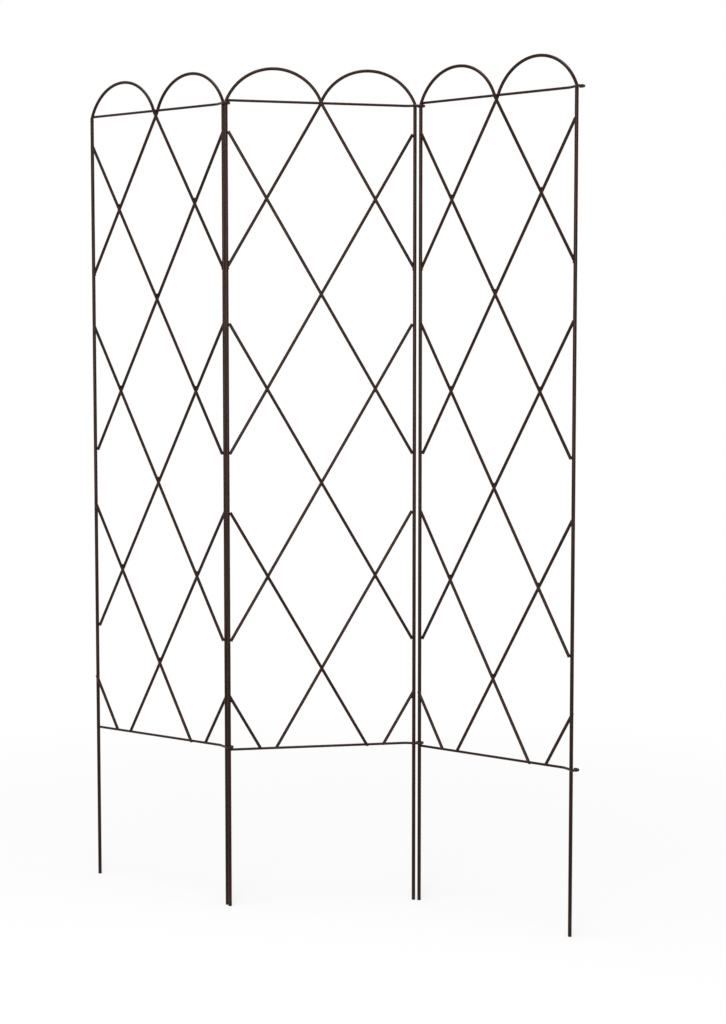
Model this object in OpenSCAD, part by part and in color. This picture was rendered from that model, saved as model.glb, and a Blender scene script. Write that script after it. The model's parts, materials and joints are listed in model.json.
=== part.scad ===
// Folding garden frame of three welded wire panels, each with two arches and a diamond lattice.
// The panels hook into one another with wire eyes and stand in a zig-zag.
// Millimetres, +Z up. X runs along the middle panel and -Y faces the viewer.
// The origin is on the ground, in the middle of the frame's outline as it stands.

/* [Panels] */
// Width of a panel between the centre lines of its posts
panel_w = 336; // [300:1:350]
// Height of the bottom rail above the leg tips
leg_len = 289; // [200:1:400]
// Height of the top rail above the bottom rail
rail_gap = 1150; // [1130:1:1200]
// Height of the arch tops above the top rail, wire centre to wire centre
arch_rise = 58; // [50:0.5:70]
// Drop of the first lattice rods from the top rail, at their posts
first_drop = 45; // [35:0.5:55]
// Height of the last lattice rods above the bottom rail, at their posts
last_rise = 97; // [80:0.5:115]

/* [Wire] */
// Diameter of the posts
post_d = 6.5; // [5.5:0.1:8]
// Diameter of the arches and the lattice rods
rod_d = 5.5; // [4.5:0.1:6.5]
// Diameter of the rails and their eyes
rail_d = 4.5; // [3.5:0.1:5.5]
// Gap left where two wires are welded together
weld_gap = 0.05; // [0.02:0.01:0.1]

/* [Hinges] */
// Distance along the panel from its right post to the post that its eyes hold
hinge_run = 9.9; // [9.5:0.1:12]
// Distance by which that post stands in front of the panel
hinge_lead = 3.6; // [2.5:0.1:4.5]
// Room between an eye and the post in it
hinge_clear = 0.3; // [0.2:0.05:0.5]
// Room between an eye and the neighbouring panel's rail above or below it
eye_play = 0.5; // [0.3:0.1:1]
// Gap between an eye's tail and its own post
eye_gap = 1; // [0.6:0.1:2]
// Radius of the bend that takes a rail in front of its right post
rail_bend = 12; // [8:1:16]

/* [Standing pose] */
// Turn of the left panel from the middle panel's line, in degrees
left_fold = 45.8; // [20:0.1:60]
// Turn of the right panel from the middle panel's line, in degrees
right_fold = 48.4; // [20:0.1:60]

/* [Hidden] */
$fn = 48;
rods_per_hand = 4;
wire_brown = "#2b231e";
// Extra length drawn past every cut
overrun = 12;
// Straight length on either side of the bend below a brace's arch
bend_run = 2;
// A bend is drawn a hair thicker than its wire, and the straights beside it end inside it
bend_swell = 0.05;
bend_grip = 0.5;

post_r = post_d / 2;
rod_r = rod_d / 2;
rail_r = rail_d / 2;

// Heights of the rails and of the post tops, which clear the eye below them
bottom_rail_z = leg_len;
top_rail_z = leg_len + rail_gap;
post_top_z = top_rail_z + eye_play;

// Lattice lines are evenly spaced along a post, and the braces' line meets the top rail at mid panel
rod_pitch = (rail_gap - first_drop - last_rise) / (rods_per_hand - 1);
rod_slope = (rod_pitch - first_drop) / (panel_w / 2);
rod_angle = atan(rod_slope);
// Drop of lattice line n from the top rail at its own post
function rod_drop(n) = first_drop + (n - 1) * rod_pitch;

// Lattice rods touch at their crossings, one layer in front of the other
rod_y = rod_r + weld_gap / 2;
// A rod is cut square beside its post, so that one corner of its end bites into the post's side
rod_tip = rod_r * sin(rod_angle);
rod_stop = post_r / 2 + rod_tip;

// A brace crosses in front of the top rail at mid panel, and touches one lattice rod after that
brace_lap = rail_r + rod_r + weld_gap;
brace_foot = [0, 0, post_top_z];
brace_crown = [panel_w / 2, -brace_lap, post_top_z];
cross_share = 1 / 2 + first_drop / (panel_w * rod_slope);
brace_end_y = (brace_lap * (1 - cross_share) - rod_y) / cross_share;
brace_end = [panel_w, brace_end_y, top_rail_z - panel_w / 2 * rod_slope];
brace_stop = panel_w - post_r / 2;

// Circle of an arch over its chord between the foot and mid panel
arch_height = arch_rise - eye_play;
arch_half = norm(brace_crown - brace_foot) / 2;
arch_r = (arch_half ^ 2 + arch_height ^ 2) / (2 * arch_height);
arch_lean = asin((arch_r - arch_height) / arch_r);
arch_dir = unit(brace_crown - brace_foot);
arch_turn = atan2(arch_dir.y, arch_dir.x);
arch_mid = (brace_foot + brace_crown) / 2 - up(arch_r - arch_height);
arch_over = overrun / arch_r * 180 / PI;

// Bend from the arch's crown end into the lattice line
crown_dir = arch_dir * sin(arch_lean) - up(cos(arch_lean));
crown_in = -arch_dir * cos(arch_lean) - up(sin(arch_lean));
crown_side = cross(up(1), arch_dir);
brace_corner = brace_crown + 2 * bend_run * crown_dir;
brace_dir = unit(brace_end - brace_corner);
brace_toward = atan2(brace_dir * crown_side, brace_dir * crown_in);
brace_turn = acos(brace_dir * crown_dir);
brace_bend = bend_run / tan(brace_turn / 2);
brace_run = norm(brace_end - brace_corner) - bend_run;

// Sides that a rail bends to, about its own length
to_back = 90;
to_front = -90;

// Plan of an eye: its straight touches the front of its own post, then runs round the next post
eye_mid = [panel_w + hinge_run, -hinge_lead];
hinge_dist = norm([hinge_run, hinge_lead]);
hinge_turn = atan2(hinge_lead, hinge_run);
own_touch = post_r + rail_r + weld_gap;
eye_r = post_r + hinge_clear + rail_r + bend_swell;
eye_outer = eye_r + rail_r + bend_swell;
eye_turn = hinge_turn + asin((eye_r - own_touch) / hinge_dist);
eye_bend_x = panel_w - own_touch / sin(eye_turn);
tail_room = post_r + eye_gap;
tail_turn = acos((hinge_dist ^ 2 + eye_outer ^ 2 - tail_room ^ 2) / (2 * hinge_dist * eye_outer));
eye_wrap = 270 + eye_turn - hinge_turn - tail_turn;

// A rail leans a little, so that its eye passes just clear of the plain end of the next panel's rail
rail_tilt = atan((rail_d + eye_play) / eye_mid.x);
// Straight lengths of a rail, less what its bend takes; it is drawn from inside its left post
rail_start = post_r / 2;
eye_trim = rail_bend * tan(eye_turn / 2);
rail_run = eye_bend_x / cos(rail_tilt) - rail_start - eye_trim;
eye_run = own_touch / tan(eye_turn) + hinge_dist * cos(eye_turn - hinge_turn) - eye_trim;

// Outline of the standing frame: the left panel's free post with its last rod, the right panel's free eyes
lap_reach = rod_y * sin(left_fold) + norm([rod_tip * cos(left_fold), rod_r * sin(left_fold)]);
left_end = -turned(eye_mid, left_fold);
right_end = eye_mid + turned(eye_mid, right_fold);
outline_low = [left_end.x - max(post_r, lap_reach), right_end.y - eye_outer];
outline_high = [right_end.x + eye_outer, left_end.y + post_r];
frame_mid = (outline_low + outline_high) / 2;

panels = ["left_panel_", "middle_panel_", "right_panel_"];
fixed_pieces = [
    "left_post", "right_post", "left_arch_brace", "right_arch_brace", "top_rail", "bottom_rail"
];
rod_pieces = [
    for (hand = ["falling_rod_", "rising_rod_"]) for (n = [1 : rods_per_hand]) str(hand, n)
];

// Vector helpers
function up(h) = [0, 0, h];
function unit(v) = v / norm(v);
function turned(p, fold) = [
    p.x * cos(fold) + p.y * sin(fold),
    p.y * cos(fold) - p.x * sin(fold)
];

// Straight wire along +Z between two bends, with children at its far end
module run(length, r) {
    translate([0, 0, -bend_grip]) cylinder(h = length + 2 * bend_grip, r = r);
    translate([0, 0, length]) children();
}

// Round bend that turns +Z towards the given side, with children at its far end
module turn(toward, angle, bend_r, r) {
    rotate([0, 0, toward]) translate([bend_r, 0, 0]) {
        rotate([90, 0, 180]) rotate_extrude(angle = angle) translate([bend_r, 0]) circle(r + bend_swell);
        rotate([0, angle, 0]) translate([-bend_r, 0, 0]) rotate([0, 0, -toward]) children();
    }
}

// Moves a piece to the same place on the panel's other side, seen from behind
module half_turn() {
    translate([panel_w, 0, 0]) rotate([0, 0, 180]) children();
}

// Room taken up by both posts
module post_room() {
    for (x = [0, panel_w])
        translate([x, 0, 0]) cylinder(h = post_top_z, r = post_r + weld_gap);
}

// Arch of a brace, drawn past its foot, with children at its crown end
module arch(r) {
    translate(arch_mid)
        rotate([0, arch_lean - arch_over, arch_turn])
            translate([-arch_r, 0, 0])
                turn(0, 180 - 2 * arch_lean + arch_over, arch_r, r) children();
}

// Post with its leg, from the ground to the foot of its arch
module post() {
    color(wire_brown) cylinder(h = post_top_z, r = post_r);
}

// Wire that leaves its post as an arch and runs on as the first lattice line
module arch_brace() {
    color(wire_brown) difference() {
        arch(rod_r)
            run(bend_run, rod_r)
            turn(brace_toward, brace_turn, brace_bend, rod_r)
            run(brace_run + overrun, rod_r);
        // The foot is cut level on the post
        translate([-overrun, -overrun, post_top_z + weld_gap - 2 * overrun])
            cube(2 * overrun);
        // The far end is cut plumb beside the post's centre line and hollowed to fit the post
        translate([brace_stop, -overrun, brace_end.z - 2 * overrun])
            cube([overrun, 2 * overrun, 3 * overrun]);
        post_room();
    }
}

// Starts a wire at the left post, along a rail that tilts down to the right about mid panel
module along_rail(z, tilt) {
    translate([panel_w / 2, 0, z])
        rotate([0, 90 + tilt, 0])
            translate([0, 0, -panel_w / (2 * cos(tilt))]) children();
}

// Rail with a plain left end and an eye at its right end
module rail(z, tilt) {
    along_rail(z, tilt) translate([0, 0, rail_start])
        run(rail_run, rail_r)
        turn(to_front, eye_turn, rail_bend, rail_r)
        run(eye_run, rail_r)
        turn(to_back, eye_wrap, eye_r, rail_r);
}

// Rail below the arches, whose eye hangs under the next panel's rail
module top_rail() {
    color(wire_brown) difference() {
        rail(top_rail_z, rail_tilt);
        cylinder(h = post_top_z, r = post_r + weld_gap);
        arch(rod_r + weld_gap);
    }
}

// Rail above the legs, whose eye rides over the next panel's rail
module bottom_rail() {
    color(wire_brown) difference() {
        rail(bottom_rail_z, -rail_tilt);
        cylinder(h = post_top_z, r = post_r + weld_gap);
    }
}

// Lattice rod of line n, falling to the right across the panel's front, over a bottom rail of that tilt.
// The last one laps its post, up to the post's centre line
module falling_rod(n, tilt) {
    stop = n < rods_per_hand ? rod_stop : 0;
    high_z = top_rail_z - rod_drop(n) - stop * rod_slope;
    far = panel_w - 2 * stop;
    reach = (high_z - bottom_rail_z) / rod_slope;
    lands = reach < far;
    color(wire_brown) difference() {
        translate([stop, -rod_y, high_z])
            rotate([0, 90 + rod_angle, 0])
                cylinder(h = lands ? reach / cos(rod_angle) + overrun : far / cos(rod_angle), r = rod_r);
        post_room();
        // A rod that ends on the bottom rail is cut level and hollowed to fit it
        if (lands) {
            translate([0, -overrun, bottom_rail_z - 2 * overrun])
                cube([panel_w, 2 * overrun, 2 * overrun]);
            along_rail(bottom_rail_z, tilt) run(panel_w, rail_r + weld_gap);
        }
    }
}

// Puts a panel where it stands
module stand(p) {
    translate([-frame_mid.x, -frame_mid.y, 0])
        if (p == "left_panel_")
            rotate([0, 0, -left_fold]) translate([-eye_mid.x, -eye_mid.y, 0]) children();
        else if (p == "right_panel_")
            translate([eye_mid.x, eye_mid.y, 0]) rotate([0, 0, -right_fold]) children();
        else
            children();
}

for (p = panels) {
    stand(p) post();
    stand(p) half_turn() post();
    stand(p) arch_brace();
    stand(p) half_turn() arch_brace();
    stand(p) top_rail();
    stand(p) bottom_rail();
    for (n = [1 : rods_per_hand]) {
        stand(p) falling_rod(n, -rail_tilt);
        stand(p) half_turn() falling_rod(n, rail_tilt);
    }
}
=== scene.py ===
import json
import math

import bmesh
import bpy
from mathutils import Matrix, Vector, noise

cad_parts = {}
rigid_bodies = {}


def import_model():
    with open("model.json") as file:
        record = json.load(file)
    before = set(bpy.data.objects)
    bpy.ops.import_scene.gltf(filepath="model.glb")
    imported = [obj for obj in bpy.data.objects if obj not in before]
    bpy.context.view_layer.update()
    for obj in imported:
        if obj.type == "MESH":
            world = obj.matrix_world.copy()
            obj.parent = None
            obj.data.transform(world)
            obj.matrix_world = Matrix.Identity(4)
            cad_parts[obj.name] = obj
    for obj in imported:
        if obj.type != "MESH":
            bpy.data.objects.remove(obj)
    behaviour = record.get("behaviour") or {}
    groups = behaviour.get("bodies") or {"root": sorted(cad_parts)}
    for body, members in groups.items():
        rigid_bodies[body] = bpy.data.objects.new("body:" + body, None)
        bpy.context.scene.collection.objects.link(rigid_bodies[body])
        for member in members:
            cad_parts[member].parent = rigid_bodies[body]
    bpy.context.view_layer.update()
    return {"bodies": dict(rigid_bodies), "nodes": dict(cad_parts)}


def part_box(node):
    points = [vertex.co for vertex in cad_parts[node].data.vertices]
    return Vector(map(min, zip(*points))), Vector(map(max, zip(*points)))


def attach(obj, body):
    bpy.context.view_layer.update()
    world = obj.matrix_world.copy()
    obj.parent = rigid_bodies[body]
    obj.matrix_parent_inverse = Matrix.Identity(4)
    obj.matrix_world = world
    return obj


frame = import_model()

scene = bpy.context.scene
scene.view_settings.view_transform = "Standard"
mm = 0.001

# camera, as the frame was photographed: a little left of it, at chest height
shot = {
    "lens": 65.27,  # mm
    "sensor": 36,  # mm, along the tall side of the picture
    "place": (-0.32676, -3.30087, 0.96227),
    "aimRight": 6.90,  # degrees from straight ahead
    "aimDown": 4.26,
}
cameraData = bpy.data.cameras.new("shotCamera")
cameraData.lens = shot["lens"]
cameraData.sensor_width = shot["sensor"]
shotCamera = bpy.data.objects.new("shotCamera", cameraData)
scene.collection.objects.link(shotCamera)
shotCamera.location = shot["place"]
shotCamera.rotation_euler = (
    math.radians(90 - shot["aimDown"]), 0, -math.radians(shot["aimRight"])
)
scene.camera = shotCamera
print("camera set")

# places of a Mix node's colours among its sockets
mixSockets = {"first": 6, "second": 7, "result": 2}


def addNode(tree, kind, **settings):
    node = tree.nodes.new(kind)
    for name, value in settings.items():
        setattr(node, name, value)
    return node


def addRange(tree, value, low, high, toLow, toHigh):
    spread = addNode(tree, "ShaderNodeMapRange")
    spread.inputs["From Min"].default_value = low
    spread.inputs["From Max"].default_value = high
    spread.inputs["To Min"].default_value = toLow
    spread.inputs["To Max"].default_value = toHigh
    tree.links.new(value, spread.inputs["Value"])
    return spread.outputs["Result"]


def addMix(tree, factor, first, second):
    mix = addNode(tree, "ShaderNodeMix", data_type="RGBA")
    tree.links.new(factor, mix.inputs["Factor"])
    tree.links.new(first, mix.inputs[mixSockets["first"]])
    tree.links.new(second, mix.inputs[mixSockets["second"]])
    return mix.outputs[mixSockets["result"]]


def addMath(tree, operation, first, second):
    step = addNode(tree, "ShaderNodeMath", operation=operation)
    tree.links.new(first, step.inputs[0])
    tree.links.new(second, step.inputs[1])
    return step.outputs["Value"]


# grain of the powder coat: the size and detail of each noise, and the part of it that is used
coatGrain = {
    "tone": {"size": 60 * mm, "detail": 3, "low": 0.35, "high": 0.65, "least": 0},
    "scuff": {"size": 2.5 * mm, "detail": 3, "low": 0.5, "high": 0.62, "least": 0},
    "patch": {"size": 9 * mm, "detail": 2, "low": 0.3, "high": 0.7, "least": 0.88},
    "peel": {"size": 1.3 * mm, "detail": 1},
    "scuffTop": 40 * mm,  # height above the ground at which the legs' scuffs end
    "scuffShare": 0.5,
}


def addNoise(tree, vector, grain):
    texture = addNode(tree, "ShaderNodeTexNoise")
    texture.inputs["Scale"].default_value = 1 / grain["size"]
    texture.inputs["Detail"].default_value = grain["detail"]
    tree.links.new(vector, texture.inputs["Vector"])
    return texture.outputs["Fac"]


def addPatches(tree, vector, grain):
    plain = addNoise(tree, vector, grain)
    return addRange(tree, plain, grain["low"], grain["high"], grain["least"], 1)


# powder coat: slow changes of tone, a fine orange peel, and duller, paler scuffs near the leg tips
def makeCoatGroup():
    group = bpy.data.node_groups.new("powderCoat", "ShaderNodeTree")
    face = group.interface
    face.new_socket("Vector", in_out="INPUT", socket_type="NodeSocketVector")
    face.new_socket("Deep", in_out="INPUT", socket_type="NodeSocketColor")
    face.new_socket("Warm", in_out="INPUT", socket_type="NodeSocketColor")
    face.new_socket("Scuffed", in_out="INPUT", socket_type="NodeSocketColor")
    face.new_socket("Dullness", in_out="INPUT", socket_type="NodeSocketFloat")
    face.new_socket("Color", in_out="OUTPUT", socket_type="NodeSocketColor")
    face.new_socket("Roughness", in_out="OUTPUT", socket_type="NodeSocketFloat")
    face.new_socket("Height", in_out="OUTPUT", socket_type="NodeSocketFloat")
    given = addNode(group, "NodeGroupInput").outputs
    result = addNode(group, "NodeGroupOutput").inputs
    tone = addPatches(group, given["Vector"], coatGrain["tone"])
    clean = addMix(group, tone, given["Deep"], given["Warm"])
    level = addNode(group, "ShaderNodeSeparateXYZ")
    group.links.new(given["Vector"], level.inputs["Vector"])
    low = addRange(
        group, level.outputs["Z"], 0, coatGrain["scuffTop"], coatGrain["scuffShare"], 0
    )
    rubbed = addPatches(group, given["Vector"], coatGrain["scuff"])
    scuff = addMath(group, "MULTIPLY", low, rubbed)
    group.links.new(addMix(group, scuff, clean, given["Scuffed"]), result["Color"])
    patches = addPatches(group, given["Vector"], coatGrain["patch"])
    dull = addMath(group, "MULTIPLY", patches, given["Dullness"])
    group.links.new(dull, result["Roughness"])
    group.links.new(addNoise(group, given["Vector"], coatGrain["peel"]), result["Height"])
    return group


coatGroup = makeCoatGroup()


def makeCoat(name, look):
    material = bpy.data.materials.new(name)
    material.use_nodes = True
    tree = material.node_tree
    shader = tree.nodes["Principled BSDF"]
    place = addNode(tree, "ShaderNodeTexCoord").outputs["Object"]
    coat = addNode(tree, "ShaderNodeGroup", node_tree=coatGroup)
    tree.links.new(place, coat.inputs["Vector"])
    coat.inputs["Deep"].default_value = look["deep"]
    coat.inputs["Warm"].default_value = look["warm"]
    coat.inputs["Scuffed"].default_value = look["scuffed"]
    coat.inputs["Dullness"].default_value = look["dullness"]
    tree.links.new(coat.outputs["Color"], shader.inputs["Base Color"])
    tree.links.new(coat.outputs["Roughness"], shader.inputs["Roughness"])
    peel = addNode(tree, "ShaderNodeBump")
    peel.inputs["Strength"].default_value = look["peel"]
    peel.inputs["Distance"].default_value = look["peelDepth"]
    tree.links.new(coat.outputs["Height"], peel.inputs["Height"])
    tree.links.new(peel.outputs["Normal"], shader.inputs["Normal"])
    shader.inputs["Specular IOR Level"].default_value = look["shine"]
    shader.inputs["Specular Tint"].default_value = look["glint"]
    return material


wireLook = {
    "deep": (0.0110, 0.0044, 0.0023, 1),
    "warm": (0.0190, 0.0078, 0.0042, 1),
    "scuffed": (0.060, 0.045, 0.035, 1),
    "dullness": 0.3,
    "peel": 0.45,
    "peelDepth": 0.12 * mm,
    "shine": 0.21,
    "glint": (1, 0.66, 0.54, 1),
}
wireCoat = makeCoat("wireCoat", wireLook)
for wire in frame["nodes"].values():
    wire.data.materials.clear()
    wire.data.materials.append(wireCoat)
print("wires coated")

# welds: small lumps of metal in the corners where the wires meet, under the same coat
weldLook = {
    "deep": (0.0160, 0.0066, 0.0033, 1),
    "warm": (0.0290, 0.0118, 0.0058, 1),
    "scuffed": (0.060, 0.045, 0.035, 1),
    "dullness": 0.45,
    "peel": 0.5,
    "peelDepth": 0.15 * mm,
    "shine": 0.22,
    "glint": (1, 0.64, 0.52, 1),
}
weldCoat = makeCoat("weldCoat", weldLook)

# how the wires of a panel lie, in metres from the foot of its left post
lattice = {
    "topRail": 1.439,  # rail heights at mid panel
    "bottomRail": 0.289,
    "railLean": 0.01446,  # share by which the top rail falls and the bottom rail rises
    "postTop": 1.4395,
    "firstDrop": 0.045,
    "pitch": 0.336,
    "lines": 4,
    "clearOfRail": 0.02,  # wires that cross nearer to a rail than this are welded to the rail
}
lump = {
    "segments": 8,
    "rings": 6,
    "uneven": 0.12,  # share of its size by which a lump varies
    "grain": 1.3,
    "spread": 900,  # keeps neighbouring lumps unlike
}


def middleOf(node):
    low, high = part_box(node)
    return (low + high) / 2


# a panel's own axes, from the foot of its left post, and its width
def panelSpace(panel):
    left = middleOf(panel + "_left_post")
    right = middleOf(panel + "_right_post")
    along = (right - left).normalized()
    space = Matrix.Identity(4)
    space.col[0].xyz = along
    space.col[1].xyz = Vector((-along.y, along.x, 0))
    space.col[3].xyz = Vector((left.x, left.y, 0))
    return space, (right - left).length


# a weld's place and its half sizes are in millimetres, its lean in degrees about the panel's depth
def addWeld(mesh, space, weld):
    made = bmesh.ops.create_uvsphere(
        mesh, u_segments=lump["segments"], v_segments=lump["rings"], radius=1
    )
    place = Matrix.Translation(Vector(weld["place"]) * mm)
    leaned = Matrix.Rotation(math.radians(weld["lean"]), 4, "Y")
    sized = Matrix.Diagonal((*[side * mm for side in weld["size"]], 1))
    matrix = space @ place @ leaned @ sized
    start = matrix.translation * lump["spread"]
    for vert in made["verts"]:
        vert.co *= 1 + lump["uneven"] * noise.noise(vert.co * lump["grain"] + start)
    bmesh.ops.transform(mesh, matrix=matrix, verts=made["verts"])


def finishPiece(mesh, name, material, body):
    bmesh.ops.recalc_face_normals(mesh, faces=mesh.faces)
    data = bpy.data.meshes.new(name)
    mesh.to_mesh(data)
    mesh.free()
    data.shade_smooth()
    data.materials.append(material)
    piece = bpy.data.objects.new(name, data)
    scene.collection.objects.link(piece)
    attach(piece, body)


def lineDrop(line):
    return lattice["firstDrop"] + (line - 1) * lattice["pitch"]


def latticeSlope(width):
    return (lattice["pitch"] - lattice["firstDrop"]) / (width / 2)


# turns one side of a panel into the other, seen from behind
def otherHand(width):
    return Matrix.Translation((width, 0, 0)) @ Matrix.Rotation(math.pi, 4, "Z")


# where two lattice wires cross, one in front of the other; line 0 is the braces'
crossWeld = {"place": (0, 0, 0), "size": (3.3, 1.0, 6.0), "lean": 0}


def makeCrossWelds(panel):
    space, width = panelSpace(panel)
    mesh = bmesh.new()
    step = lattice["pitch"] / (2 * latticeSlope(width))
    lowest = lattice["bottomRail"] + lattice["clearOfRail"]
    highest = lattice["topRail"] - lattice["clearOfRail"]
    for falling in range(lattice["lines"] + 1):
        for rising in range(lattice["lines"] + 1):
            along = width / 2 + (rising - falling) * step
            height = lattice["topRail"] - lineDrop(falling) - latticeSlope(width) * along
            if 0 < along < width and lowest < height < highest:
                addWeld(mesh, space @ Matrix.Translation((along, 0, height)), crossWeld)
    finishPiece(mesh, panel + "_cross_welds", weldCoat, panel)


# where a lattice wire ends beside a post: the corners under and over its cut end
rodEndWelds = (
    {"place": (2.8, -1.6, -9.9), "size": (0.9, 1.4, 2.1), "lean": -15},
    {"place": (2.6, -1.9, -7.5), "size": (1.1, 1.3, 1.3), "lean": 30},
)
# where a last rod laps its post: the corner under it, and the side of its cut end
lapWelds = (
    {"place": (3.4, -1.6, -11.2), "size": (0.9, 1.5, 2.4), "lean": -15},
    {"place": (2.3, -2.4, 0.9), "size": (1.1, 0.9, 1.0), "lean": 30},
)
# where a brace butts on the far post
braceEndWelds = (
    {"place": (3.5, -1.1, -11.2), "size": (1.0, 1.7, 2.4), "lean": -15},
    {"place": (3.7, -1.1, 0.5), "size": (1.3, 1.7, 1.3), "lean": 30},
)


def makePostWelds(panel):
    space, width = panelSpace(panel)
    mesh = bmesh.new()
    fall = latticeSlope(width) * width
    upsideDown = Matrix.Rotation(math.pi, 4, "Y")
    braceEnd = Matrix.Translation((width, 0, lattice["topRail"] - fall / 2))
    ends = [(braceEnd @ upsideDown, braceEndWelds)]
    for line in range(1, lattice["lines"] + 1):
        height = lattice["topRail"] - lineDrop(line)
        welds = rodEndWelds if line < lattice["lines"] else lapWelds
        ends.append((Matrix.Translation((0, 0, height)), welds))
        if height - fall > lattice["bottomRail"]:
            farEnd = Matrix.Translation((width, 0, height - fall))
            ends.append((farEnd @ upsideDown, rodEndWelds))
    for hand in (space, space @ otherHand(width)):
        for end, welds in ends:
            for weld in welds:
                addWeld(mesh, hand @ end, weld)
    finishPiece(mesh, panel + "_post_welds", weldCoat, panel)


# welds along the rails: braces at mid panel, rod feet, plain ends, fronts of the posts, arch feet
braceWeld = {"place": (0, -2.3, 0), "size": (3.0, 0.9, 2.5), "lean": 0}
rodFootWeld = {"place": (0, -3.0, -0.5), "size": (3.0, 1.3, 1.1), "lean": 0}
plainEndWeld = {"place": (3.6, 0, 0.35), "size": (1.1, 2.6, 2.0), "lean": 0}
postFrontWeld = {"place": (0, -3.3, 0), "size": (2.4, 0.9, 1.7), "lean": 0}
archFootWeld = {"place": (0.2, 0, 0.4), "size": (3.0, 3.0, 1.2), "lean": 0}


def makeRailWelds(panel):
    space, width = panelSpace(panel)
    mesh = bmesh.new()
    top, bottom = lattice["topRail"], lattice["bottomRail"]
    rise = lattice["railLean"] * width / 2
    for hand in (space, space @ otherHand(width)):
        addWeld(mesh, hand @ Matrix.Translation((width / 2, 0, top)), braceWeld)
        addWeld(mesh, hand @ Matrix.Translation((0, 0, lattice["postTop"])), archFootWeld)
        for line in range(1, lattice["lines"] + 1):
            foot = (top - lineDrop(line) - bottom) / latticeSlope(width)
            if foot < width:
                addWeld(mesh, hand @ Matrix.Translation((foot, 0, bottom)), rodFootWeld)
    for height, outward in ((top, 1), (bottom, -1)):
        plainEnd = Matrix.Translation((0, 0, height + outward * rise))
        eyeEnd = Matrix.Translation((width, 0, height - outward * rise))
        upright = Matrix.Diagonal((1, 1, outward, 1))
        addWeld(mesh, space @ plainEnd @ upright, plainEndWeld)
        addWeld(mesh, space @ eyeEnd, postFrontWeld)
    finishPiece(mesh, panel + "_rail_welds", weldCoat, panel)


for panel in frame["bodies"]:
    makeCrossWelds(panel)
    makePostWelds(panel)
    makeRailWelds(panel)
print("welds laid")

# floor and white surroundings; both look white to the eye, and the floor keeps a soft shadow
studio = {
    "floorSize": 40,
    "floorDrop": 0.2 * mm,
    "floorTone": (0.95, 0.95, 0.95, 1),
    "shadow": 0.3,  # share of the floor's look that takes light and shadow, under the frame
    "fadeFrom": 0.7,  # that share fades out between these distances from the middle
    "fadeTo": 1.9,
    "sky": (1, 1, 1, 1),
    "fill": 0.3,  # strength of the sky as light on the frame
}


def whiteRays(tree):
    path = addNode(tree, "ShaderNodeLightPath").outputs
    seen = addMath(tree, "MAXIMUM", path["Is Camera Ray"], path["Is Glossy Ray"])
    return addMath(tree, "MAXIMUM", seen, path["Is Transmission Ray"])


def makeFloorPaint():
    material = bpy.data.materials.new("floorPaint")
    material.use_nodes = True
    tree = material.node_tree
    matte = tree.nodes["Principled BSDF"]
    matte.inputs["Base Color"].default_value = studio["floorTone"]
    matte.inputs["Roughness"].default_value = 1
    matte.inputs["Specular IOR Level"].default_value = 0
    glow = addNode(tree, "ShaderNodeEmission")
    reach = addNode(tree, "ShaderNodeVectorMath", operation="LENGTH")
    tree.links.new(addNode(tree, "ShaderNodeTexCoord").outputs["Object"], reach.inputs[0])
    clear = addRange(
        tree, reach.outputs["Value"], studio["fadeFrom"], studio["fadeTo"], 1 - studio["shadow"], 1
    )
    blend = addNode(tree, "ShaderNodeMixShader")
    tree.links.new(addMath(tree, "MULTIPLY", clear, whiteRays(tree)), blend.inputs["Fac"])
    tree.links.new(matte.outputs["BSDF"], blend.inputs[1])
    tree.links.new(glow.outputs["Emission"], blend.inputs[2])
    tree.links.new(blend.outputs["Shader"], tree.nodes["Material Output"].inputs["Surface"])
    return material


floorMesh = bmesh.new()
bmesh.ops.create_grid(floorMesh, x_segments=1, y_segments=1, size=studio["floorSize"] / 2)
bmesh.ops.translate(floorMesh, vec=(0, 0, -studio["floorDrop"]), verts=floorMesh.verts)
floorData = bpy.data.meshes.new("floor")
floorMesh.to_mesh(floorData)
floorMesh.free()
floorData.materials.append(makeFloorPaint())
floor = bpy.data.objects.new("floor", floorData)
scene.collection.objects.link(floor)

world = bpy.data.worlds.new("studioWorld")
scene.world = world
world.use_nodes = True
worldTree = world.node_tree
sky = worldTree.nodes["Background"]
sky.inputs["Color"].default_value = studio["sky"]
strength = addRange(worldTree, whiteRays(worldTree), 0, 1, studio["fill"], 1)
worldTree.links.new(strength, sky.inputs["Strength"])
print("floor and surroundings set")

# soft lamps: a tall one beside the camera and a broad one overhead
lamps = {
    "frontLamp": {
        "place": (-1, -3.5, 1.4), "aim": (0, 0, 1.2), "wide": 1.4, "tall": 2, "power": 75,
    },
    "topLamp": {
        "place": (-0.6, -1, 8), "aim": (0, 0, 0), "wide": 4, "tall": 4, "power": 400,
    },
}
for name, lamp in lamps.items():
    lampData = bpy.data.lights.new(name, "AREA")
    lampData.shape = "RECTANGLE"
    lampData.size = lamp["wide"]
    lampData.size_y = lamp["tall"]
    lampData.energy = lamp["power"]
    lampObject = bpy.data.objects.new(name, lampData)
    scene.collection.objects.link(lampObject)
    lampObject.location = lamp["place"]
    aim = Vector(lamp["aim"]) - Vector(lamp["place"])
    lampObject.rotation_euler = aim.to_track_quat("-Z", "Y").to_euler()
print("lamps set")
